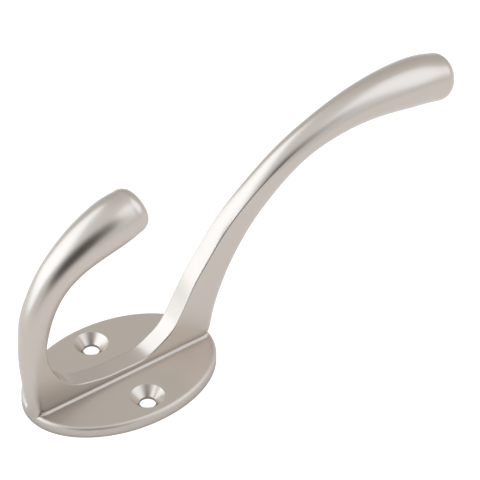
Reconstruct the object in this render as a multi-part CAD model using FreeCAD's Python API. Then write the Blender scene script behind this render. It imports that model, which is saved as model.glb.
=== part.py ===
import FreeCAD, Part
import math
import os

# Double robe hook: one nickel-plated zinc casting that is screwed to a wall.
# The wall is the plane Y = 0, the hook stands out of it towards -Y, and +Z is up.
# The origin is the centre of the back of the wall plate.
# A point of an arm is given by its height (along Z) and its reach (distance from the wall, along -Y).

# Wall plate: an upright ellipse with a rounded front rim
PLATE_HEIGHT = 52.4
PLATE_WIDTH = 37.0
PLATE_THICKNESS = 2.9
RIM_RADIUS = 1.0

# Two countersunk screw holes, level with each other, each set in from one side of the plate
SCREW_INSET = 6.5
SCREW_HOLE = 4.1
COUNTERSINK = 8.5
COUNTERSINK_ANGLE = 90.0

# Web between the arms, and the section that it passes on to them
WEB_WIDTH = 5.3
SADDLE_REACH = 4.9
FACE_CROWN = 0.02
BASE_FILLET = 0.8
BURIED = 0.7

# Knobs that end both arms: a rounded corner, and past it a shallow dome
KNOB = 12.0
KNOB_CORNER = 3.3
KNOB_CORNER_TURN = 68.0

# In a row of the tables, a depth that runs down into the plate, and one that is the same as the width
TO_PLATE = 0.0
ROUND = -1.0

# Sections of an arm, from the saddle to the knob, one in each row: height of the throat face past the end
# of the plate, reach of the throat face, tilt in degrees, depth, swell, roundness.
# Swell is 0 where the arm is as wide as the web and 1 where it is as wide as the knob.
UPPER_ARM = [
    (-19.7, 5.1, 9, TO_PLATE, 0, 0),
    (-15.7, 6.9, 29, TO_PLATE, 0, 0),
    (-12.6, 9.0, 45, TO_PLATE, 0, 0),
    (-11.9, 9.7, 49, 12.8, 0.015, 0),
    (-11.2, 10.5, 52.5, 13.4, 0.03, 0),
    (-9.9, 12.5, 57, 12.8, 0.045, 0),
    (-7.8, 16.2, 60, 11.4, 0.045, 0),
    (-5.2, 20.9, 57.5, 10.7, 0.03, 0.03),
    (-1.6, 25.9, 52, 9.6, 0.045, 0.12),
    (3.2, 31.5, 47.5, 8.5, 0.12, 0.26),
    (8.5, 37.0, 43.5, 7.6, 0.195, 0.42),
    (14.4, 42.1, 38, 7.15, 0.24, 0.6),
    (20.8, 46.6, 31.5, 6.95, 0.27, 0.8),
    (27.7, 50.4, 25, 7.0, 0.315, 0.92),
    (35.6, 53.6, 17.5, 8.1, 0.45, 1),
    (44.4, 55.9, 10, ROUND, 0.64, 1),
    (53.7, 56.9, 3, ROUND, 0.85, 1),
    (61.8, 57.0, -4.5, ROUND, 1, 1),
    (67.9, 56.1, -10.5, ROUND, 1, 1),
    (72.2, 54.65, -14.5, ROUND, 0.985, 1),
]
LOWER_ARM = [
    (-21.2, 5.1, 5, TO_PLATE, 0, 0),
    (-16.5, 6.0, 18, TO_PLATE, 0, 0),
    (-12.2, 7.4, 33, TO_PLATE, 0, 0),
    (-10.9, 8.2, 41, TO_PLATE, 0, 0),
    (-9.8, 9.0, 46.5, 10.9, 0, 0),
    (-8.9, 9.9, 49.5, 11.1, 0, 0),
    (-8.0, 10.8, 53, 10.4, 0, 0),
    (-6.0, 13.8, 61, 8.4, 0.015, 0),
    (-4.4, 17.7, 74, 6.7, 0.045, 0.04),
    (-3.8, 21.4, 88, ROUND, 0.105, 0.16),
    (-4.0, 25.4, 99, 6.1, 0.15, 0.32),
    (-5.1, 28.9, 110, 6.9, 0.21, 0.5),
    (-7.3, 34.1, 121, 7.1, 0.255, 0.68),
    (-10.0, 37.6, 136, ROUND, 0.36, 0.84),
    (-13.8, 40.4, 151, ROUND, 0.52, 0.96),
    (-18.3, 42.2, 161, ROUND, 0.76, 1),
    (-23.5, 43.5, 164.5, ROUND, 0.925, 1),
    (-27.6, 44.6, 164, ROUND, 1, 1),
    (-31.2, 45.7, 164, ROUND, 0.97, 1),
]


def place(x, height, reach):
    return FreeCAD.Vector(x, -reach, height)


def arc(start, middle, end):
    return Part.Arc(start, middle, end).toShape()


def rib(row, up):
    """The throat point, the outward direction, the depth and the half width of one section."""
    past, reach, tilt, depth, swell = row[:5]
    angle = math.radians(tilt)
    throat = place(0, up * (PLATE_HEIGHT / 2 + past), reach)
    outward = FreeCAD.Vector(0, math.cos(angle), up * math.sin(angle))
    width = WEB_WIDTH + swell * (KNOB - WEB_WIDTH)
    if depth == TO_PLATE:
        depth = (reach - BURIED) / math.cos(angle)
    if depth == ROUND:
        depth = width
    return throat, outward, depth, width / 2


def section(row, up):
    """A closed outline of four arcs: throat face, two sides and nose.

    At roundness 0 the throat face and the sides are flat, their corners are square, and the nose is a half
    circle. As roundness grows the arcs bow out and the corners fade, and at 1 they make one circle. The
    sides always run into the nose without a corner.
    """
    throat, outward, depth, half = rib(row, up)
    roundness = row[5]
    lean = math.radians(45) * roundness
    crown = FACE_CROWN * (1 - roundness)
    bow = (1 - math.sin(lean)) / math.cos(lean)
    swell = math.tan(lean / 2) / 2
    corner = (half - crown - swell * (depth - crown)) / (1 - swell * bow * (1 + roundness))
    face = crown + bow * corner * roundness
    nose = depth - bow * corner
    middle = (face + nose) / 2

    def at(x, inward):
        return throat + FreeCAD.Vector(x, 0, 0) + outward * inward

    return Part.Wire([
        arc(at(-corner, face), at(0, 0), at(corner, face)),
        arc(at(corner, face), at(half, middle), at(corner, nose)),
        arc(at(corner, nose), at(0, depth), at(-corner, nose)),
        arc(at(-corner, nose), at(-half, middle), at(-corner, face)),
    ])


def knob_end(row, up):
    """The blunt end past an arm's last section, turned about the knob's own axis."""
    throat, outward, depth, half = rib(row, up)
    axis = FreeCAD.Vector(1, 0, 0).cross(outward) * up
    centre = throat + outward * (depth / 2)
    ring = half - KNOB_CORNER
    turn = math.radians(KNOB_CORNER_TURN)
    dome = ring / math.cos(turn) + KNOB_CORNER
    drop = ring * math.tan(turn)

    def at(radius, angle, back, out):
        return centre + outward * (out + radius * math.cos(angle)) + axis * (radius * math.sin(angle) - back)

    right = math.radians(90)
    start, shoulder, tip = at(KNOB_CORNER, 0, 0, ring), at(KNOB_CORNER, turn, 0, ring), at(dome, right, drop, 0)
    outline = Part.Wire([
        Part.LineSegment(centre, start).toShape(),
        arc(start, at(KNOB_CORNER, turn / 2, 0, ring), shoulder),
        arc(shoulder, at(dome, (turn + right) / 2, drop, 0), tip),
        Part.LineSegment(tip, centre).toShape(),
    ])
    return Part.Face(outline).revolve(centre, axis, 360)


def arms():
    """Both arms and the web as one skin over all the sections, and the ends of both knobs."""
    middle = (-PLATE_HEIGHT / 2, SADDLE_REACH, 0, TO_PLATE, 0, 0)
    outlines = [section(row, -1) for row in reversed(LOWER_ARM)]
    outlines.append(section(middle, 1))
    outlines += [section(row, 1) for row in UPPER_ARM]
    skin = Part.makeLoft(outlines, True, False)
    return skin.fuse([knob_end(LOWER_ARM[-1], -1), knob_end(UPPER_ARM[-1], 1)])


def plate():
    """The elliptical plate with its rounded front rim."""
    ellipse = Part.Ellipse(FreeCAD.Vector(0, 0, 0), PLATE_HEIGHT / 2, PLATE_WIDTH / 2)
    outline = Part.Wire([ellipse.toShape()])
    outline.rotate(FreeCAD.Vector(0, 0, 0), FreeCAD.Vector(0, 0, 1), 90)
    outline.rotate(FreeCAD.Vector(0, 0, 0), FreeCAD.Vector(1, 0, 0), 90)
    slab = Part.Face(outline).extrude(place(0, 0, PLATE_THICKNESS))
    front = [edge for edge in slab.Edges if edge.CenterOfMass.y < -PLATE_THICKNESS * 0.99]
    return slab.makeFillet(RIM_RADIUS, front)


def screw_hole(x):
    """A through hole and its countersink, ready to be cut from the plate."""
    hole = Part.makeCylinder(SCREW_HOLE / 2, PLATE_THICKNESS, place(x, 0, 0), place(0, 0, 1))
    slope = math.tan(math.radians(COUNTERSINK_ANGLE / 2))
    depth = (COUNTERSINK - SCREW_HOLE) / 2 / slope
    start = place(x, 0, PLATE_THICKNESS - depth)
    cone = Part.makeCone(SCREW_HOLE / 2, COUNTERSINK / 2, depth, start, place(0, 0, 1))
    return hole.fuse(cone)


def base_edges(body):
    """The edges where the flat sides of the web stand on the face of the plate."""
    level, beside = 0.02, 0.1
    found = []
    for edge in body.Edges:
        box = edge.BoundBox
        on_face = abs(box.YMin + PLATE_THICKNESS) < level and abs(box.YMax + PLATE_THICKNESS) < level
        if on_face and abs(abs(edge.CenterOfMass.x) - WEB_WIDTH / 2) < beside:
            found.append(edge)
    return found


def hook_casting():
    body = plate().fuse(arms())
    body = body.makeFillet(BASE_FILLET, base_edges(body))
    hole = PLATE_WIDTH / 2 - SCREW_INSET
    return body.cut([screw_hole(-hole), screw_hole(hole)]).removeSplitter().Solids[0]


os.makedirs("parts", exist_ok=True)
casting = hook_casting()
print("valid", casting.isValid(), "volume", round(casting.Volume), "faces", len(casting.Faces))
print(casting.BoundBox)
casting.exportStep("parts/hook_casting.step")
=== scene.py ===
# %% [markdown]
# # Double robe hook
# The hook is one zinc casting with satin nickel plating: an oval plate that is screwed to the wall, a web
# that stands on it, a tall upper arm for a hat or coat and a short upturned lower arm for a robe.
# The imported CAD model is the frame. Its axes are used all through: the wall is the plane Y = 0, the hook
# stands out of it towards -Y, +Z is up, and the origin is the centre of the plate's back. Blender works in
# metres, and the sizes of a small casting read better in millimetres, so each table is in millimetres and
# is scaled once, when a mesh is made.

# %% Load the frame
import math

import bmesh
import bpy
import numpy as np
from mathutils import Matrix, Vector
from mathutils.geometry import delaunay_2d_cdt


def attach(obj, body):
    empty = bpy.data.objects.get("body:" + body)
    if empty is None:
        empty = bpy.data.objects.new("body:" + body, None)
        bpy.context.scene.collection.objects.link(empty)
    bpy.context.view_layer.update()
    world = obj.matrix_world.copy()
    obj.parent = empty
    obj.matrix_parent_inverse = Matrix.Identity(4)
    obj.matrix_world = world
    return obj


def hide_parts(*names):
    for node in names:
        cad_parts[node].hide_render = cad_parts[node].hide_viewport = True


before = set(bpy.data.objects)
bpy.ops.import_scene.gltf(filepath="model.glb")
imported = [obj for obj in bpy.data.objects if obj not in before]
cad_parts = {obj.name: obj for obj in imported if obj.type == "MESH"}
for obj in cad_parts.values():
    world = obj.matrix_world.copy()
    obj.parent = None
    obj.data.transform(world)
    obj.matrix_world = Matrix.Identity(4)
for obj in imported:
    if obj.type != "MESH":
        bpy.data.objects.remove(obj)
bpy.context.view_layer.update()

# %% [markdown]
# ## The shape of the arms
# Both arms and the web between them are one flowing bar. A bar like this can be modelled by hand with a
# subdivision cage, but then its sizes are hard to hold. Here it is lofted: a table gives a cross-section
# at forty places along the bar, a smooth curve runs through each column of the table, and the outline
# between them is worked out by formula.
#
# A row is written from the throat, the inner side that carries the coat: its height past the plate's end,
# its reach from the wall, the tilt of the section, its depth, its swell and its roundness. The swell is 0
# where the bar is as wide as the web and 1 where it is as wide as the knob. At roundness 0 the section is a
# flat bar with a round nose, and at 1 it is a circle. Two marks stand in for a depth: the section runs down
# into the plate, or it is as deep as it is wide.

# %% Sizes of the casting
MM = 0.001
PLATE_HEIGHT, PLATE_WIDTH, PLATE_THICKNESS, RIM_RADIUS = 52.4, 37.0, 2.9, 1.0
WEB_WIDTH, SADDLE_REACH, BURIED, FACE_CROWN = 5.3, 4.9, 0.7, 0.02
KNOB, KNOB_CORNER, KNOB_CORNER_TURN = 12.0, 3.3, math.radians(68)
EDGE_RADIUS = 0.45
TO_PLATE, ROUND = 0.0, -1.0

UPPER_ARM = np.array([
    (-19.7, 5.1, 9, TO_PLATE, 0, 0),
    (-15.7, 6.9, 29, TO_PLATE, 0, 0),
    (-12.6, 9.0, 45, TO_PLATE, 0, 0),
    (-11.9, 9.7, 49, 12.8, 0.015, 0),
    (-11.2, 10.5, 52.5, 13.4, 0.03, 0),
    (-9.9, 12.5, 57, 12.8, 0.045, 0),
    (-7.8, 16.2, 60, 11.4, 0.045, 0),
    (-5.2, 20.9, 57.5, 10.7, 0.03, 0.03),
    (-1.6, 25.9, 52, 9.7, 0.025, 0.05),
    (2.85, 31.83, 47.5, 9.1, 0.035, 0.12),
    (8.13, 37.38, 43.5, 8.45, 0.06, 0.22),
    (14.2, 42.36, 38, 7.92, 0.115, 0.38),
    (20.63, 46.9, 31.5, 7.5, 0.235, 0.64),
    (27.62, 50.6, 25, 7.33, 0.33, 0.87),
    (35.59, 53.62, 17.5, 8.1, 0.45, 1),
    (44.4, 55.9, 10, ROUND, 0.625, 1),
    (53.7, 56.96, 3, ROUND, 0.86, 1),
    (61.79, 56.9, -4.5, ROUND, 1.03, 1),
    (67.89, 56.04, -10.5, ROUND, 1.055, 1),
    (72.21, 54.69, -14.5, ROUND, 1.02, 1),
])
LOWER_ARM = np.array([
    (-21.2, 5.1, 5, TO_PLATE, 0, 0),
    (-16.5, 6.0, 18, TO_PLATE, 0, 0),
    (-12.2, 7.4, 33, TO_PLATE, 0, 0),
    (-10.9, 8.2, 41, TO_PLATE, 0, 0),
    (-9.8, 9.0, 46.5, 10.9, 0, 0),
    (-8.9, 9.9, 49.5, 11.1, 0, 0),
    (-8.0, 10.8, 53, 10.4, 0, 0),
    (-6.0, 13.8, 61, 8.4, 0.015, 0),
    (-4.4, 17.7, 74, 6.75, 0.06, 0.04),
    (-3.9, 21.4, 88, ROUND, 0.145, 0.16),
    (-4.4, 25.35, 99, 6.6, 0.225, 0.32),
    (-5.45, 28.77, 110, 7.5, 0.3, 0.5),
    (-7.67, 33.88, 121, 7.93, 0.38, 0.68),
    (-10.27, 37.33, 136, ROUND, 0.49, 0.84),
    (-13.97, 40.09, 151, ROUND, 0.65, 0.96),
    (-18.37, 42.0, 161, ROUND, 0.85, 1),
    (-23.52, 43.44, 164.5, ROUND, 1.01, 1),
    (-27.63, 44.5, 164, ROUND, 1.055, 1),
    (-31.51, 45.76, 164, ROUND, 0.96, 1),
])
print("sections:", len(LOWER_ARM) + 1 + len(UPPER_ARM))

# %% [markdown]
# ## A smooth curve through a column
# The rows are a few millimetres apart, and straight runs between them would show as bands in the nickel's
# reflections. A cubic spline bends evenly through all the rows instead. Its bend at each row is the only
# unknown, and numpy solves for all of them at once.


# %% Spline and section outline
THROAT_STEPS, EDGE_STEPS, SIDE_STEPS, NOSE_STEPS = 8, 7, 21, 14


def spline(knots, columns, at):
    """Columns of values at new places.

    Between two rows a column is a cubic: the straight blend of both values, plus each row's bend times
    (blend cubed - blend) times the run squared / 6. The bends make the slopes agree where cubics meet, and
    are 0 at both ends.
    """
    run = np.diff(knots)
    slope = np.diff(columns, axis=0) / run[:, None]
    system = np.eye(len(knots))
    middle = np.arange(1, len(knots) - 1)
    system[middle, middle - 1] = run[:-1]
    system[middle, middle] = 2 * (run[:-1] + run[1:])
    system[middle, middle + 1] = run[1:]
    wanted = np.zeros_like(columns)
    wanted[1:-1] = 6 * np.diff(slope, axis=0)
    bend = np.linalg.solve(system, wanted)
    part = np.clip(np.searchsorted(knots, at) - 1, 0, len(run) - 1)
    length = run[part][:, None]
    far = (at[:, None] - knots[part][:, None]) / length
    near = 1 - far
    lift = ((near ** 3 - near) * bend[part] + (far ** 3 - far) * bend[part + 1]) * length ** 2 / 6
    return near * columns[part] + far * columns[part + 1] + lift


def bow_arc(half_chord, rise, share):
    """A flat arc over a chord: how far across and how far up, for a share from -1 to 1 of its sweep.

    Radius = (half chord squared + rise squared) / twice the rise, and the sweep's half angle is twice the
    arc tangent of rise / half chord.
    """
    radius = (half_chord ** 2 + rise ** 2) / (2 * rise)
    angle = 2 * np.arctan(rise / half_chord) * share
    return radius * np.sin(angle), radius * (1 - np.cos(angle))


def section_outline(depth, half, roundness, edge_radius):
    """Closed outlines, one in each row: x across the bar and y from the throat inwards.

    The throat face, the two sides and the nose are arcs. The arcs' corners lie further in as roundness
    grows: at 0 the faces are flat and the nose is a half circle, at 1 the four arcs are one circle. Where
    the throat face meets a side, both stop short by edge radius x tan(half the turn), and a cubic that
    leaves along one and arrives along the other rounds the edge.
    """
    lean = math.radians(45) * roundness
    crown = FACE_CROWN * (1 - roundness)
    bow = (1 - np.sin(lean)) / np.cos(lean)
    swell = np.tan(lean / 2) / 2
    corner = (half - crown - swell * (depth - crown)) / (1 - swell * bow * (1 + roundness))
    face = crown + bow * corner * roundness
    nose = depth - bow * corner
    middle, side = (face + nose) / 2, (nose - face) / 2
    face_turn = 2 * np.arctan(face / corner)
    side_turn = 2 * np.arctan((half - corner) / side)
    turn = math.radians(90) - face_turn - side_turn
    trim = edge_radius * np.tan(turn / 2)
    face_length = face_turn * (corner ** 2 + face ** 2) / (2 * face)
    side_length = side_turn * (side ** 2 + (half - corner) ** 2) / (2 * (half - corner))

    across, up = bow_arc(corner, face, np.linspace(0, 1, THROAT_STEPS + 1) * (1 - trim / face_length))
    throat = np.stack([across, up], -1)
    cut = trim / side_length
    along_side, out = bow_arc(side, half - corner, np.linspace(0, 1, SIDE_STEPS + 1) * (2 - cut) - (1 - cut))
    right = np.stack([half - out, middle + along_side], -1)
    across, up = bow_arc(corner, depth - nose, np.linspace(1, 0, NOSE_STEPS + 1)[1:])
    end = np.stack([across, depth - up], -1)

    start, stop = throat[:, -1], right[:, 0]
    leave = np.concatenate([np.cos(face_turn), np.sin(face_turn)], -1)
    arrive = np.concatenate([np.sin(side_turn), np.cos(side_turn)], -1)
    pull = edge_radius * 4 / 3 * np.tan(turn / 4)
    t = np.linspace(0, 1, EDGE_STEPS + 1)[1:-1, None]
    edge = ((1 - t) ** 3 * start[:, None] + 3 * (1 - t) ** 2 * t * (start + pull * leave)[:, None]
            + 3 * (1 - t) * t ** 2 * (stop - pull * arrive)[:, None] + t ** 3 * stop[:, None])
    side_half = np.concatenate([throat, edge, right, end], axis=1)
    other_half = side_half[:, -2:0:-1] * (-1, 1)
    return np.concatenate([side_half, other_half], axis=1)


sample = section_outline(np.array([[10.0]]), np.array([[WEB_WIDTH / 2]]), np.array([[0.0]]), EDGE_RADIUS)
print("points round a section:", sample.shape[1])

# %% [markdown]
# ## From sections to a skin
# The rows of both arms are put end to end, from the lower knob to the upper one, as throat points and nose
# points. The spline runs through those, and each outline is set between its throat point and its nose
# point. The knob ends are turned: the last circle is repeated, smaller each time, round a corner and over
# a shallow dome to a single point.


# %% Skin of the arms
STATIONS, MOST_ROUND = 320, 0.999
CORNER_RINGS, DOME_RINGS = 12, 11
KNOB_RINGS = CORNER_RINGS + DOME_RINGS


def rib_points(rows, up):
    """Throat height and reach, nose height and reach, half width and roundness of each row."""
    past, reach, tilt, depth, swell, roundness = rows.T
    height, angle = up * (PLATE_HEIGHT / 2 + past), np.radians(tilt)
    width = WEB_WIDTH + swell * (KNOB - WEB_WIDTH)
    to_plate = (reach - BURIED) / np.cos(angle)
    depth = np.where(depth == TO_PLATE, to_plate, np.where(depth == ROUND, width, depth))
    return np.stack([height, reach, height + up * depth * np.sin(angle), reach - depth * np.cos(angle),
                     width / 2, roundness], -1)


def knob_rings(ring, turn_way):
    """Rings that close a knob past its last round section.

    Round the corner the radius is inner radius + corner radius x cosine, and the advance is corner radius
    x sine. Over the dome both come from one larger circle that meets the corner without a break.
    """
    centre = (ring[0] + ring[len(ring) // 2]) / 2
    radius = np.linalg.norm(ring[0] - centre)
    axis = np.cross((1, 0, 0), ring[len(ring) // 2] - ring[0]) * turn_way
    axis /= np.linalg.norm(axis)
    inner = radius - KNOB_CORNER
    dome = inner / math.cos(KNOB_CORNER_TURN) + KNOB_CORNER
    corner = np.linspace(0, KNOB_CORNER_TURN, CORNER_RINGS + 1)[1:]
    over = np.linspace(KNOB_CORNER_TURN, math.pi / 2, DOME_RINGS + 1)[1:]
    size = np.concatenate([inner + KNOB_CORNER * np.cos(corner), dome * np.cos(over)])
    ahead = np.concatenate([KNOB_CORNER * np.sin(corner),
                            dome * np.sin(over) - inner * math.tan(KNOB_CORNER_TURN)])
    return centre + (ring - centre) * (size / radius)[:, None, None] + axis * ahead[:, None, None]


def arms_surface(stations, edge_radius):
    """The skin as a grid: one row of points for each section, and the rings of both knobs.

    The roundness is kept a hair under 1, since an edge with no turn left has no cubic to round it.
    """
    middle = np.array([(-PLATE_HEIGHT / 2, SADDLE_REACH, 0, TO_PLATE, 0, 0)])
    rows = np.concatenate([rib_points(LOWER_ARM[::-1], -1), rib_points(middle, 1), rib_points(UPPER_ARM, 1)])
    steps = np.linalg.norm(np.diff(rows[:, :2], axis=0), axis=1)
    knots = np.concatenate([[0], np.cumsum(steps)])
    throat_z, throat_reach, nose_z, nose_reach, half, roundness = spline(
        knots, rows, np.linspace(0, knots[-1], stations)).T
    inward = np.stack([nose_z - throat_z, nose_reach - throat_reach], -1)
    depth = np.linalg.norm(inward, axis=1)
    roundness = np.clip(roundness, 0, MOST_ROUND)
    outline = section_outline(depth[:, None], half[:, None], roundness[:, None], edge_radius)
    share = outline[..., 1] / depth[:, None]
    reach = throat_reach[:, None] + inward[:, 1:] * share
    height = throat_z[:, None] + inward[:, :1] * share
    skin = np.stack([outline[..., 0], -reach, height], -1)
    return np.concatenate([knob_rings(skin[0], -1)[::-1], skin, knob_rings(skin[-1], 1)])


skin = arms_surface(STATIONS, EDGE_RADIUS)
print("skin grid:", skin.shape, "low", skin.min(axis=(0, 1)).round(2), "high", skin.max(axis=(0, 1)).round(2))

# %% [markdown]
# ## From points to a mesh
# A grid of points becomes quads between neighbouring rows, closed round the bar. Every piece goes through
# one helper: it merges the points that lie together, turns all faces outwards, smooths the shading except
# at true edges, and counts the open edges, because a solid casting has none.


# %% Mesh helpers
WELD = 0.0005
SHARP_ANGLE = math.radians(35)


def tube_faces(rows, around):
    """Quads of a grid that closes round: each joins a point, the next one round, and both in the next row."""
    low = np.arange(rows - 1)[:, None] * around + np.arange(around)
    beside = low - np.arange(around) + (np.arange(around) + 1) % around
    return np.stack([low, beside, beside + around, low + around], -1).reshape(-1, 4)


def closed_piece(name, points, faces):
    """A mesh object in metres from points in millimetres."""
    mesh = bpy.data.meshes.new(name)
    mesh.from_pydata((points * MM).tolist(), [], faces)
    work = bmesh.new()
    work.from_mesh(mesh)
    bmesh.ops.remove_doubles(work, verts=work.verts, dist=WELD * MM)
    bmesh.ops.dissolve_degenerate(work, edges=work.edges, dist=WELD * MM)
    bmesh.ops.recalc_face_normals(work, faces=work.faces)
    open_edges = sum(not edge.is_manifold for edge in work.edges)
    print(name, "faces", len(work.faces), "open edges", open_edges, "volume mm3",
          round(work.calc_volume(signed=True) / MM ** 3))
    work.to_mesh(mesh)
    work.free()
    mesh.shade_smooth()
    mesh.set_sharp_from_angle(angle=SHARP_ANGLE)
    piece = bpy.data.objects.new(name, mesh)
    bpy.context.scene.collection.objects.link(piece)
    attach(piece, "root")
    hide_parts("hook_casting")
    return piece


count, around = skin.shape[:2]
arms = closed_piece("hook_arms", skin.reshape(-1, 3), tube_faces(count, around).tolist())

# %% [markdown]
# ## The plate
# The plate is an upright ellipse with a rounded front rim, and the web stands on it in a small fillet. Its
# rounded parts are strips: a loop of points is repeated along a profile. Its flat faces have an oval
# outline with holes in it, which no grid fits, so Blender's constrained triangulation fills them. A narrow
# flat ring runs round each hole and rim first, and keeps the shading of the flat face flat.

# %% Sizes and outlines of the plate
SCREW_SPACING, SCREW_HOLE, COUNTERSINK = 24.0, 4.1, 8.5
BASE_FILLET = 0.8
EDGE_BREAK = 0.12
FLAT_RING = 0.1
OUTLINE_POINTS, HOLE_POINTS = 288, 96
SAME_POINT = 1e-7
screws = (-SCREW_SPACING / 2, SCREW_SPACING / 2)


def ellipse_loop(inset):
    """Points of the plate's outline moved inwards along its normal."""
    angle = np.linspace(0, 2 * math.pi, OUTLINE_POINTS, endpoint=False)
    across, tall = PLATE_WIDTH / 2, PLATE_HEIGHT / 2
    normal = np.stack([np.cos(angle) / across, np.sin(angle) / tall], -1)
    normal /= np.linalg.norm(normal, axis=1, keepdims=True)
    return np.stack([across * np.cos(angle), tall * np.sin(angle)], -1) - inset * normal


def circle_loop(x, radius):
    """Points of a circle round a screw hole."""
    angle = np.linspace(0, 2 * math.pi, HOLE_POINTS, endpoint=False)
    return np.stack([x + radius * np.cos(angle), radius * np.sin(angle)], -1)


def foot_line(reach):
    """Height and half width of the skin where it crosses a distance from the wall, from low to high.

    Each column of the skin's grid crosses that distance once towards each arm. The crossings of the nose's
    columns make both ends of the line, and between them lies the flat side of the web.
    """
    body = skin[KNOB_RINGS:-KNOB_RINGS, :around // 2 + 1]
    deep = -body[..., 1] - reach
    step, column = np.nonzero(deep[:-1] * deep[1:] < 0)
    share = deep[step, column] / (deep[step, column] - deep[step + 1, column])
    point = body[step, column] + share[:, None] * (body[step + 1, column] - body[step, column])
    return point[np.argsort(point[:, 2])][:, [2, 0]]


foot = foot_line(PLATE_THICKNESS)
print("web at the plate's face: half width", foot[:, 1].max().round(2), "ends at", foot[[0, -1], 0].round(2))


# %% Strips and flat faces
class Patches:
    """Points and faces of one piece, gathered patch by patch."""

    def __init__(self):
        self.points, self.faces, self.total = [], [], 0

    def add(self, points, faces):
        self.points.append(points)
        self.faces += [[corner + self.total for corner in face] for face in faces]
        self.total += len(points)

    def add_loops(self, loops):
        """Joins loops of equal length, each to the next, with quads."""
        self.add(loops.reshape(-1, 3), tube_faces(*loops.shape[:2]).tolist())

    def add_flat(self, outline, holes, reach):
        """Fills the space between an outline and its holes, at one distance from the wall.

        The triangulation covers the holes too. A triangle lies in a hole where all its corners come from
        that hole's ring, and only the others are taken.
        """
        rings = [outline, *holes]
        ends = np.cumsum([0] + [len(ring) for ring in rings])
        links = [(first + i, first + (i + 1) % (last - first))
                 for first, last in zip(ends, ends[1:]) for i in range(last - first)]
        flat = np.concatenate(rings)
        found = delaunay_2d_cdt([Vector(point) for point in flat], links, [], 0, SAME_POINT)
        corners = np.array(found[2])
        ring_of = np.searchsorted(ends, np.array([ids[0] for ids in found[3]]), side="right") - 1
        same = (ring_of[corners] == ring_of[corners][:, :1]).all(axis=1) & (ring_of[corners][:, 0] > 0)
        points = np.array([tuple(point) for point in found[0]])
        self.add(on_plate(points, reach), corners[~same].tolist())


def on_plate(flat, reach):
    """Points of the plate's plane, given across and up, set at a distance from the wall."""
    return np.stack([flat[..., 0], np.broadcast_to(-reach, flat.shape[:-1]), flat[..., 1]], -1)


plate_parts = Patches()

# %% [markdown]
# The rim is a quarter circle between the side of the plate and its face: the inset is radius x
# (1 - cosine), and the distance from the wall grows by radius x sine. The screw holes are loops too: a
# broken edge, a 90 degree cone for the screw's head, and a straight hole.

# %% Rim and screw holes
quarter = np.linspace(0, math.pi / 2, 15)
insets = np.concatenate([[0, 0], RIM_RADIUS * (1 - np.cos(quarter)), [RIM_RADIUS + FLAT_RING]])
reaches = np.concatenate([[0, PLATE_THICKNESS - RIM_RADIUS - FLAT_RING],
                          PLATE_THICKNESS - RIM_RADIUS * (1 - np.sin(quarter)), [PLATE_THICKNESS]])
plate_parts.add_loops(np.stack([on_plate(ellipse_loop(inset), reach)
                                for inset, reach in zip(insets, reaches)]))

edge_turn = np.linspace(0, math.pi / 4, 5)
edge_trim = EDGE_BREAK * math.tan(math.pi / 8)
head, bore = COUNTERSINK / 2, SCREW_HOLE / 2
hole_radii = np.concatenate([[head + edge_trim + FLAT_RING],
                             head + edge_trim - EDGE_BREAK * np.sin(edge_turn), [bore, bore]])
hole_reaches = np.concatenate([[PLATE_THICKNESS], PLATE_THICKNESS - EDGE_BREAK * (1 - np.cos(edge_turn)),
                               [PLATE_THICKNESS - head + bore, 0]])
for x in screws:
    plate_parts.add_loops(np.stack([on_plate(circle_loop(x, radius), reach)
                                    for radius, reach in zip(hole_radii, hole_reaches)]))
print("strip faces:", len(plate_parts.faces))

# %% Flat faces of the plate
front_holes = [circle_loop(x, hole_radii[0]) for x in screws]
plate_parts.add_flat(ellipse_loop(insets[-1]), front_holes, PLATE_THICKNESS)
back_holes = [circle_loop(x, bore) for x in screws]
plate_parts.add_flat(ellipse_loop(0), back_holes, 0.0)
plate = closed_piece("hook_plate", np.concatenate(plate_parts.points), plate_parts.faces)

# %% [markdown]
# The web stands on the plate in a small hollow fillet along both sides. It is a low ring of its own: its
# inner edge lies against the web, its outer edge lies on the plate, and the rest of it is hidden in both.
# Both ends of the web come close to the plate's outline. The fillet gets narrower there, follows the rim
# where that turns down, and dips into the arms' noses where no room is left for it.


# %% Fillet along the foot of the web
RIM_MARGIN, NOSE_DIP, NARROWEST, STEEPEST = 0.15, 0.9, 0.05, 0.95
INTO_WEB, INTO_PLATE, HIDDEN = 0.03, 0.004, 0.4


def web_loop(reach, count):
    """The right half of the web's outline at a distance from the wall, as evenly spaced points.

    It starts and ends at the points where the noses of the two arms cross that distance.
    """
    line = foot_line(reach)[:, ::-1]
    steps = np.concatenate([[0], np.cumsum(np.linalg.norm(np.diff(line, axis=0), axis=1))])
    even = np.linspace(0, steps[-1], count)
    return np.stack([np.interp(even, steps, line[:, 0]), np.interp(even, steps, line[:, 1])], -1)


def rim_distance(flat):
    """Distance from the plate's outline: (1 - r) / the slope of r.

    Here r is the length of (x / half the width, z / half the height), which is 1 on the outline.
    """
    scaled = flat / (PLATE_WIDTH / 2, PLATE_HEIGHT / 2)
    r = np.linalg.norm(scaled, axis=-1)
    return (1 - r) * r / np.linalg.norm(scaled / (PLATE_WIDTH / 2, PLATE_HEIGHT / 2), axis=-1)


def rim_drop(flat):
    """How far the plate's surface lies under its face: 0 on the face, growing round the rim.

    The drop is rim radius - the root of (rim radius squared - what is left of the radius squared).
    """
    left = np.clip(RIM_RADIUS - rim_distance(flat), 0, STEEPEST * RIM_RADIUS)
    return RIM_RADIUS - np.sqrt(RIM_RADIUS ** 2 - left ** 2)


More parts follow.
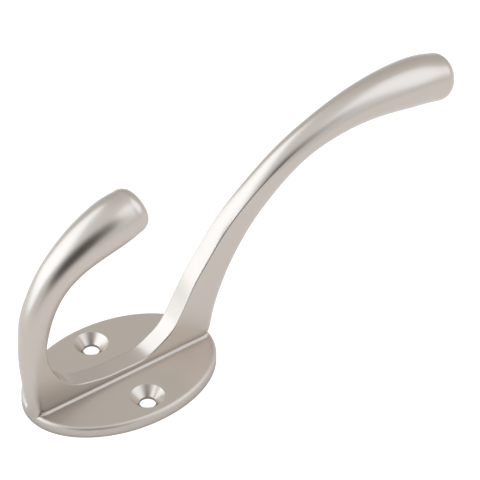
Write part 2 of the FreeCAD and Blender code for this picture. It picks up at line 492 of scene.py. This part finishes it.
def fillet_rings(count):
    """Rings from the hidden underside, over the hollow quarter circle, to the hidden top.

    Over the quarter circle the ring stands wide x (1 - sine) away from the web and rise x (1 - cosine)
    above the plate, and is pressed into both by a hair.
    """
    half_loop = web_loop(PLATE_THICKNESS + BASE_FILLET, count)
    loop = np.concatenate([half_loop, half_loop[-2:0:-1] * (-1, 1)])
    away = np.roll(loop, -1, axis=0) - np.roll(loop, 1, axis=0)
    away = np.stack([away[:, 1], -away[:, 0]], -1)
    away /= np.linalg.norm(away, axis=1, keepdims=True)
    away *= np.sign((away * loop).sum(axis=1).mean())
    room = rim_distance(loop + BASE_FILLET * away)[:, None] + BASE_FILLET - RIM_MARGIN
    wide = np.clip(room, NARROWEST, BASE_FILLET)
    loop = loop - np.clip(NOSE_DIP - room, 0, NOSE_DIP) * away
    ground = PLATE_THICKNESS - rim_drop(loop + wide * away)
    rise = wide[:, 0] + PLATE_THICKNESS - ground
    rings = [on_plate(loop + wide * away, ground - HIDDEN)]
    for turn in np.linspace(0, math.pi / 2, 12):
        out = wide * (1 - math.sin(turn)) - INTO_WEB * math.sin(turn)
        rings.append(on_plate(loop + out * away, ground + rise * (1 - math.cos(turn)) - INTO_PLATE))
    rings.append(on_plate(loop - HIDDEN * away, ground + rise))
    return np.stack(rings)


rings = fillet_rings(260)
turns, around_foot = rings.shape[:2]
faces = tube_faces(turns, around_foot).tolist()
mirror = np.concatenate([[0], np.arange(around_foot - 1, 0, -1)])
side = np.arange(1, around_foot // 2 - 1)
across = np.stack([side, side + 1, mirror[side + 1], mirror[side]], -1)
ends = np.array([[0, 1, mirror[1]], [around_foot // 2 - 1, around_foot // 2, mirror[around_foot // 2 - 1]]])
for first in (0, (turns - 1) * around_foot):
    faces += (across + first).tolist() + (ends + first).tolist()
print("fillet loop ends at", rings[1, 0].round(2), rings[1, around_foot // 2].round(2))
web_fillet = closed_piece("web_fillet", rings.reshape(-1, 3), faces)

# %% [markdown]
# Under the lower arm the web's nose runs straight down into the plate's side, and no rim is left between
# them. A small toe fills that step. Each of its levels is an arc that blends from the plate's outline at
# the bottom to the nose's own curve at the top, and the rest of it is hidden inside the casting.

# %% Toe under the lower arm
TOE_BOTTOM, TOE_TOP, TOE_HALF_WIDTH, TOE_TURN = 1.7, 4.8, 3.4, math.radians(68)
END_SINK, INSIDE_WIDTH, INSIDE_RISE = 0.3, 0.6, 1.6


def toe_levels(arc_points, levels):
    """Closed levels of the toe: across, and back through the inside.

    A level is outline x part + nose x (1 - part). The part is (1 - blend) x (1 - share to the fourth): the
    blend grows upwards as 3 s squared - 2 s cubed, so that the toe leaves the plate's side and meets the
    nose upright, and the share runs from -1 to 1 across, so that both ends sink into the nose.
    """
    share = np.linspace(-1, 1, arc_points)
    fullness = (1 - share ** 4)[:, None]
    x = TOE_HALF_WIDTH * share
    outline = np.stack([x, -PLATE_HEIGHT / 2 * np.sqrt(1 - (2 * x / PLATE_WIDTH) ** 2)], -1)
    nose_points = foot_line(TOE_TOP)
    nose_points = nose_points[nose_points[:, 0] < -PLATE_HEIGHT / 2 + WEB_WIDTH / 2]
    x = WEB_WIDTH / 2 * np.sin(TOE_TURN * share)
    nose = np.stack([x, np.interp(np.abs(x), nose_points[:, 1], nose_points[:, 0])], -1)
    rings = []
    for step in np.linspace(0, 1, levels):
        blend = step * step * (3 - 2 * step)
        part = (1 - blend) * fullness
        front = outline * part + nose * (1 - part) + (1 - fullness) * (1 - blend) * (0, END_SINK)
        inside = front[::-1] * (INSIDE_WIDTH, 1) + (0, INSIDE_RISE)
        rings.append(on_plate(np.concatenate([front, inside]), TOE_BOTTOM + step * (TOE_TOP - TOE_BOTTOM)))
    return np.stack(rings)


levels = toe_levels(41, 17)
heights, around_toe = levels.shape[:2]
faces = tube_faces(heights, around_toe).tolist()
step = np.arange(around_toe // 2 - 1)
cap = np.stack([step, step + 1, around_toe - 2 - step, around_toe - 1 - step], -1)
faces += cap.tolist() + (cap + (heights - 1) * around_toe).tolist()
toe = closed_piece("web_toe", levels.reshape(-1, 3), faces)

# %% [markdown]
# ## Satin nickel
# Nickel is a metal, so all its colour is in its reflections: a warm grey, a little darker in blue than in
# red. The satin comes from a fine etch under the plating. Two noises stand for it: a grain of a few tenths
# of a millimetre that tilts the surface slightly, and slow clouds that make it a little duller or brighter
# from place to place. Both are in one node group, and each finish has its own roughness. A few helpers
# come first, as every step in a group is a node that is made, fed and read in the same way.


# %% Node helpers
def feed(tree, socket, value):
    """Links an output to a socket, or sets a constant on it."""
    if isinstance(value, bpy.types.NodeSocket):
        tree.links.new(value, socket)
    else:
        socket.default_value = value


def worked(tree, operation, *values):
    """The result of a maths node on outputs and constants."""
    node = tree.nodes.new("ShaderNodeMath")
    node.operation = operation
    for socket, value in zip(node.inputs, values):
        feed(tree, socket, value)
    return node.outputs[0]


def along(tree, point, direction):
    """How far a point reaches along a direction: their dot product."""
    node = tree.nodes.new("ShaderNodeVectorMath")
    node.operation = "DOT_PRODUCT"
    node.inputs[1].default_value = direction
    tree.links.new(point, node.inputs[0])
    return node.outputs["Value"]


def scaled_by(tree, colour, scale):
    """A colour times a number."""
    node = tree.nodes.new("ShaderNodeVectorMath")
    node.operation = "SCALE"
    tree.links.new(colour, node.inputs[0])
    tree.links.new(scale, node.inputs["Scale"])
    return node.outputs[0]


def smooth_share(tree, measure, near, far, low, high):
    """A share that goes smoothly from low to high while a measure goes from near to far."""
    node = tree.nodes.new("ShaderNodeMapRange")
    node.interpolation_type = "SMOOTHSTEP"
    for socket, value in (("Value", measure), ("From Min", near), ("From Max", far), ("To Min", low),
                          ("To Max", high)):
        feed(tree, node.inputs[socket], value)
    return node.outputs["Result"]


# %% Grain group
NICKEL = (0.60, 0.535, 0.475, 1)
SATIN, DULL = 0.3, 0.46
GRAIN_DEPTH = 0.004


def satin_group():
    """Noise of two sizes on the object's coordinates: Colour, Roughness and Height come out.

    With clouds - 0.5 as the change, the roughness is the given one + change x spread, and the colour is
    multiplied by 1 + change x cloud shade. The height is the grain.
    """
    group = bpy.data.node_groups.new("satin_finish", "ShaderNodeTree")
    for name, kind, value in (("Colour", "NodeSocketColor", NICKEL),
                              ("Cloud Shade", "NodeSocketFloat", 0.03),
                              ("Roughness", "NodeSocketFloat", SATIN),
                              ("Roughness Spread", "NodeSocketFloat", 0.03),
                              ("Cloud Scale", "NodeSocketFloat", 160.0),
                              ("Grain Scale", "NodeSocketFloat", 5200.0)):
        group.interface.new_socket(name, in_out="INPUT", socket_type=kind).default_value = value
    for name, kind in (("Colour", "NodeSocketColor"), ("Roughness", "NodeSocketFloat"),
                       ("Height", "NodeSocketFloat")):
        group.interface.new_socket(name, in_out="OUTPUT", socket_type=kind)
    given, result = group.nodes.new("NodeGroupInput"), group.nodes.new("NodeGroupOutput")
    place = group.nodes.new("ShaderNodeTexCoord").outputs["Object"]
    noises = []
    for scale, detail in (("Cloud Scale", 3), ("Grain Scale", 2)):
        noise = group.nodes.new("ShaderNodeTexNoise")
        noise.inputs["Detail"].default_value = detail
        group.links.new(place, noise.inputs["Vector"])
        group.links.new(given.outputs[scale], noise.inputs["Scale"])
        noises.append(noise.outputs["Fac"])
    clouds, grain = noises
    change = worked(group, "SUBTRACT", clouds, 0.5)
    rough = worked(group, "MULTIPLY_ADD", change, given.outputs["Roughness Spread"],
                   given.outputs["Roughness"])
    shade = worked(group, "MULTIPLY_ADD", change, given.outputs["Cloud Shade"], 1.0)
    group.links.new(scaled_by(group, given.outputs["Colour"], shade), result.inputs["Colour"])
    group.links.new(rough, result.inputs["Roughness"])
    group.links.new(grain, result.inputs["Height"])
    return group


satin = satin_group()
print("group:", satin.name, "nodes", len(satin.nodes))

# %% [markdown]
# ## Painted shade towards the plate
# In the picture the flat sides of the web get darker towards the plate and in the recess at the lower
# arm's foot, and the throat does so a little where it turns into the lower arm. A group of its own shades
# the colour there by place: three directions measure where a point is, and smooth steps turn the measures
# into shares.

# %% Recess group
SIDE_LIMITS = (0.0021, 0.0026)
TURN_HEIGHT, TURN_LIMITS = -0.0155, (0.0003, 0.0026)
SIDE_SHARE, THROAT_SHARE, TURN_SHARE = -1, -0.2, -1.3
FOOT_LIMITS, RECESS_LIMITS = (0.0034, 0.0056), (-0.002, 0.009)


def painted_recess_group():
    """Paints shade into a colour near the plate and in the recess at the lower arm's foot.

    The foot's share falls from 1 to 0 between two distances from the wall. The recess's share does the same
    with distance from the wall + 0.3 x height. Both count in full on the flat sides of the web. Between
    them, on the throat and the noses, they count by a fifth, and by 1.3 where the height is that of the
    throat's turn into the lower arm. All are in metres, and the colour is multiplied by
    (1 - shade x share x count) for each.
    """
    group = bpy.data.node_groups.new("painted_recess_shade", "ShaderNodeTree")
    group.interface.new_socket("Colour", in_out="INPUT", socket_type="NodeSocketColor")
    for name, value in (("Foot Shade", 0.25), ("Recess Shade", 0.3)):
        group.interface.new_socket(name, in_out="INPUT", socket_type="NodeSocketFloat").default_value = value
    group.interface.new_socket("Colour", in_out="OUTPUT", socket_type="NodeSocketColor")
    given, result = group.nodes.new("NodeGroupInput"), group.nodes.new("NodeGroupOutput")
    place = group.nodes.new("ShaderNodeTexCoord").outputs["Object"]
    above_turn = worked(group, "ADD", along(group, place, (0, 0, 1)), -TURN_HEIGHT)
    from_turn = worked(group, "ABSOLUTE", above_turn)
    between = smooth_share(group, from_turn, *TURN_LIMITS, TURN_SHARE, THROAT_SHARE)
    from_middle = worked(group, "ABSOLUTE", along(group, place, (1, 0, 0)))
    count_here = smooth_share(group, from_middle, *SIDE_LIMITS, between, SIDE_SHARE)
    colour = given.outputs["Colour"]
    for name, direction, limits in (("Foot Shade", (0, -1, 0), FOOT_LIMITS),
                                    ("Recess Shade", (0, -1, 0.3), RECESS_LIMITS)):
        share = smooth_share(group, along(group, place, direction), *limits, 1, 0)
        shade = worked(group, "MULTIPLY", given.outputs[name], count_here)
        colour = scaled_by(group, colour, worked(group, "MULTIPLY_ADD", share, shade, 1))
    group.links.new(colour, result.inputs["Colour"])
    return group


recess = painted_recess_group()
print("group:", recess.name, "nodes", len(recess.nodes))

# %% [markdown]
# ## Three finishes
# The arms and the toe have the shades, and the plate's flat face goes without. The rolled rim and the
# fillet are duller than the rest in the picture, so they share a finish with more roughness. The rim's
# faces are picked by the places of their centres: within the rim's radius of the outline and of the face.


# %% Nickel finishes
def nickel(name, roughness, shades=None):
    """A nickel finish: the group's colour, roughness and height feed one metal shader.

    Where shades are given, the colour passes through the recess group with them, which paints shade into it.
    """
    material = bpy.data.materials.new(name)
    material.use_nodes = True
    nodes, links = material.node_tree.nodes, material.node_tree.links
    metal = nodes["Principled BSDF"]
    metal.inputs["Metallic"].default_value = 1
    finish = nodes.new("ShaderNodeGroup")
    finish.node_tree = satin
    finish.inputs["Roughness"].default_value = roughness
    relief = nodes.new("ShaderNodeBump")
    relief.inputs["Strength"].default_value = 1
    relief.inputs["Distance"].default_value = GRAIN_DEPTH * MM
    links.new(finish.outputs["Height"], relief.inputs["Height"])
    links.new(relief.outputs["Normal"], metal.inputs["Normal"])
    colour = finish.outputs["Colour"]
    if shades:
        hollow = nodes.new("ShaderNodeGroup")
        hollow.node_tree = recess
        for socket, value in shades.items():
            hollow.inputs[socket].default_value = value
        links.new(colour, hollow.inputs["Colour"])
        colour = hollow.outputs["Colour"]
    links.new(colour, metal.inputs["Base Color"])
    links.new(finish.outputs["Roughness"], metal.inputs["Roughness"])
    return material


# Painted shade on the arms: darker on the web's sides near the plate and in the recess at the lower arm's
# foot.
arms_finish = nickel("nickel_arms", SATIN, {"Foot Shade": 0.25, "Recess Shade": 0.32})
plate_finish = nickel("nickel_plate", SATIN)
rim_finish = nickel("nickel_rim", DULL)
for piece, finishes in ((arms, [arms_finish]), (plate, [plate_finish, rim_finish]),
                        (toe, [arms_finish]), (web_fillet, [rim_finish])):
    for finish in finishes:
        piece.data.materials.append(finish)
centres = np.empty(3 * len(plate.data.polygons))
plate.data.polygons.foreach_get("center", centres)
centres = centres.reshape(-1, 3) / MM
on_rim = (rim_distance(centres[:, [0, 2]]) < RIM_RADIUS) & (centres[:, 1] < RIM_RADIUS - PLATE_THICKNESS)
plate.data.polygons.foreach_set("material_index", on_rim.astype(np.int32))
print("rim faces:", on_rim.sum())
print("materials:", [material.name for material in bpy.data.materials])

# %% [markdown]
# ## The wall
# The hook is shown on a plain white wall. The wall glows a little for the camera and for reflections, so
# that it reads as white, and the rest of its white is light that falls on it, so that the hook's shadow
# stays. The glow that mirrors see carries painted shade: it fades towards the plate's outline, where the wall
# in a mirror is seen from close by, down in the plate's own shade, and it fades again far from the plate.
# Seen from behind it is clear, and the plate's back can be looked at.

# %% Wall
WALL = 1.5
PAINT = (0.35, 0.35, 0.35, 1)
CAMERA_GLOW, MIRROR_GLOW = 0.85, 0.78
# Painted shade in the glow that mirrors see: dim near the plate's outline, and dimmer far from the plate.
MIRROR_SHADES = ((0.97, 1.06, 0.15, 0.8), (1.06, 1.4, 0.85, 1.0), (16, 50, 1.0, 0.4))


def wall_material():
    """Light grey paint plus a glow that only the camera, mirrors and glass see, and clear at its back.

    For mirrors the glow changes with the distance from the plate's centre, counted in plate sizes: the
    length of (x / half the plate's width, z / half its height), which is 1 on the plate's outline. Each row
    of the table gives two distances and the share of the glow at both, and the shares are multiplied.
    """
    material = bpy.data.materials.new("white_wall")
    material.use_nodes = True
    tree = material.node_tree
    nodes, links = tree.nodes, tree.links
    nodes.clear()
    paint = nodes.new("ShaderNodeBsdfDiffuse")
    paint.inputs["Color"].default_value = PAINT
    scaled = nodes.new("ShaderNodeVectorMath")
    scaled.operation = "MULTIPLY"
    scaled.inputs[1].default_value = (2 / (PLATE_WIDTH * MM), 0, 2 / (PLATE_HEIGHT * MM))
    links.new(nodes.new("ShaderNodeTexCoord").outputs["Object"], scaled.inputs[0])
    sizes_out = nodes.new("ShaderNodeVectorMath")
    sizes_out.operation = "LENGTH"
    links.new(scaled.outputs[0], sizes_out.inputs[0])
    glow_share = MIRROR_GLOW
    for near, far, near_share, far_share in MIRROR_SHADES:
        share = smooth_share(tree, sizes_out.outputs["Value"], near, far, near_share, far_share)
        glow_share = worked(tree, "MULTIPLY", share, glow_share)
    rays = nodes.new("ShaderNodeLightPath")
    seen = worked(tree, "MULTIPLY", rays.outputs["Is Camera Ray"], CAMERA_GLOW)
    for ray in ("Is Glossy Ray", "Is Transmission Ray"):
        mirrored = worked(tree, "MULTIPLY", rays.outputs[ray], glow_share)
        seen = worked(tree, "MAXIMUM", seen, mirrored)
    glow = nodes.new("ShaderNodeEmission")
    links.new(seen, glow.inputs["Strength"])
    both = nodes.new("ShaderNodeAddShader")
    links.new(paint.outputs[0], both.inputs[0])
    links.new(glow.outputs[0], both.inputs[1])
    side = nodes.new("ShaderNodeNewGeometry")
    choose = nodes.new("ShaderNodeMixShader")
    clear = nodes.new("ShaderNodeBsdfTransparent")
    links.new(side.outputs["Backfacing"], choose.inputs[0])
    links.new(both.outputs[0], choose.inputs[1])
    links.new(clear.outputs[0], choose.inputs[2])
    links.new(choose.outputs[0], nodes.new("ShaderNodeOutputMaterial").inputs["Surface"])
    return material


wall_mesh = bpy.data.meshes.new("wall")
corners = [(-WALL, 0, -WALL), (WALL, 0, -WALL), (WALL, 0, WALL), (-WALL, 0, WALL)]
wall_mesh.from_pydata(corners, [], [(0, 1, 2, 3)])
wall_mesh.materials.append(wall_material())
wall = bpy.data.objects.new("wall", wall_mesh)
bpy.context.scene.collection.objects.link(wall)

# %% [markdown]
# ## The studio
# The camera looks at the wall from one side, so the lamps are placed by three directions of its own view:
# to its right along the wall, away from it along the wall, and out of the wall. Metal shows its
# surroundings, so these matter more than on paint: a large soft box on the left gives the broad white
# band along the throat, a lower one on the right gives the soft stripe on the knobs, and the room is an
# even grey that darkens towards the camera, which draws the dark streak along the lower arm.

# %% Lamps and room
SIDE = Vector((0.5958, 0, 0.8031))
BACK = Vector((-0.8031, 0, 0.5958))
OUT = Vector((0, -1, 0))


def spot(side, back, out):
    """A point of the studio in metres."""
    return SIDE * side + BACK * back + OUT * out


def soft_box(name, centre, across, upright, colour, radiance):
    """A rectangle of light that faces the hook. Its power is radiance x pi x its area."""
    lamp = bpy.data.lights.new(name, "AREA")
    lamp.shape = "RECTANGLE"
    lamp.size, lamp.size_y = across, upright
    lamp.color = colour
    lamp.energy = radiance * math.pi * across * upright
    box = bpy.data.objects.new(name, lamp)
    z = centre.normalized()
    y = (OUT - z * OUT.dot(z)).normalized()
    x = y.cross(z)
    box.matrix_world = Matrix(((x.x, y.x, z.x, centre.x), (x.y, y.y, z.y, centre.y),
                               (x.z, y.z, z.z, centre.z), (0, 0, 0, 1)))
    box.visible_camera = False
    bpy.context.scene.collection.objects.link(box)
    return box


soft_box("left_soft_box", spot(-1.0, 0.03, 0.6), 1.9, 1.4, (0.75, 0.87, 1), 1.14)
soft_box("right_soft_box", spot(0.87, 0.0, 0.8), 1.1, 1.3, (0.74, 0.85, 1), 0.72)

world = bpy.data.worlds.new("room")
bpy.context.scene.world = world
world.use_nodes = True
room_tree = world.node_tree
ray = room_tree.nodes.new("ShaderNodeTexCoord").outputs["Generated"]

# Each row has a direction, the cosines to it at which a tone starts and is full, and the tone.
room = (0.89, 0.92, 0.96, 1)
for direction, low, high, tone in ((BACK, 0.05, 0.6, (0.765, 0.765, 0.75, 1)),
                                   (BACK, 0.55, 1.0, (0.62, 0.63, 0.63, 1)),
                                   (spot(0.1, -0.88, 0.46), 0.82, 0.97, (0.03, 0.022, 0.015, 1))):
    cosine = along(room_tree, ray, direction.normalized())
    mix = room_tree.nodes.new("ShaderNodeMix")
    mix.data_type = "RGBA"
    room_tree.links.new(smooth_share(room_tree, cosine, low, high, 0, 1), mix.inputs["Factor"])
    first, second = [socket for socket in mix.inputs if socket.type == "RGBA"]
    feed(room_tree, first, room)
    feed(room_tree, second, tone)
    room = [socket for socket in mix.outputs if socket.type == "RGBA"][0]
room_tree.links.new(room, room_tree.nodes["Background"].inputs["Color"])
print("lamps:", [lamp.name for lamp in bpy.data.lights])

# %% [markdown]
# ## The camera
# The photograph's view was worked out from the plate's ellipse and the two screw holes. The camera is far
# away behind a long lens. It has the wall as its floor: it is turned by one angle along the wall and looks
# down on it by the other, from the hook's right and from below. A point of its frame is given by steps to
# the right and upwards from the hook's origin.

# %% Camera
TURN, DOWN = 0.6382, 0.6979
STEP = 0.245684 * MM
FOCAL_STEPS, FRAME_STEPS = 4000, 480
MIDDLE_RIGHT, MIDDLE_UP = 120.57, 138.02
SENSOR_WIDTH = 36
right = Vector((math.sin(TURN), 0, math.cos(TURN)))
ahead = Vector((-math.cos(TURN) * math.cos(DOWN), math.sin(DOWN), math.sin(TURN) * math.cos(DOWN)))
upwards = right.cross(ahead)
lens = (right * MIDDLE_RIGHT + upwards * MIDDLE_UP - ahead * FOCAL_STEPS) * STEP
camera = bpy.data.objects.new("camera", bpy.data.cameras.new("camera"))
camera.matrix_world = Matrix(((right.x, upwards.x, -ahead.x, lens.x), (right.y, upwards.y, -ahead.y, lens.y),
                              (right.z, upwards.z, -ahead.z, lens.z), (0, 0, 0, 1)))
camera.data.sensor_width = SENSOR_WIDTH
camera.data.lens = camera.data.sensor_width * FOCAL_STEPS / FRAME_STEPS
camera.data.clip_end = 10
bpy.context.scene.collection.objects.link(camera)
bpy.context.scene.camera = camera
bpy.context.scene.view_settings.view_transform = "Standard"
print("camera at", [round(v, 3) for v in lens], "lens", camera.data.lens)

# %% [markdown]
# ## Finish
# Looks never change the real size. The view layer is updated once more, so that the finished pieces are in
# place.

# %% Finish
bpy.context.view_layer.update()
